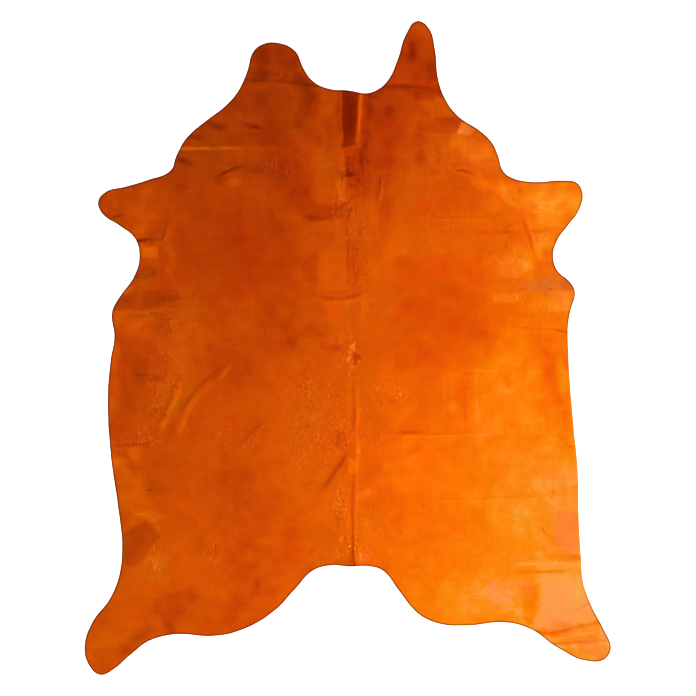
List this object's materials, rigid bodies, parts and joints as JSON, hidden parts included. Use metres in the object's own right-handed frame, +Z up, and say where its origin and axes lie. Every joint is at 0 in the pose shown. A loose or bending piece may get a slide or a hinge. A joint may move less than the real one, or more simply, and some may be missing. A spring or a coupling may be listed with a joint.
{
  "type": "leather hide",
  "caption": "Whole dyed cowhide laid flat, outer side up, with its natural trimmed outline, a ridge along the spine and soft storage folds.",
  "frame": {"origin": "middle of the hide's bounding box, on the surface that it lies on", "axes": "+Y from the tail to the neck, along the spine; +X to the right as seen from above with the neck at the top; +Z up, out of the outer side"},
  "size_m": [1.838, 2.2848, 0.0148],
  "materials": {
    "dyed_leather": "burnt orange dye, uneven and darker along the creases, satin grain side up"
  },
  "bodies": {
    "root": {"hide": "dyed_leather"}
  },
  "joints": []
}
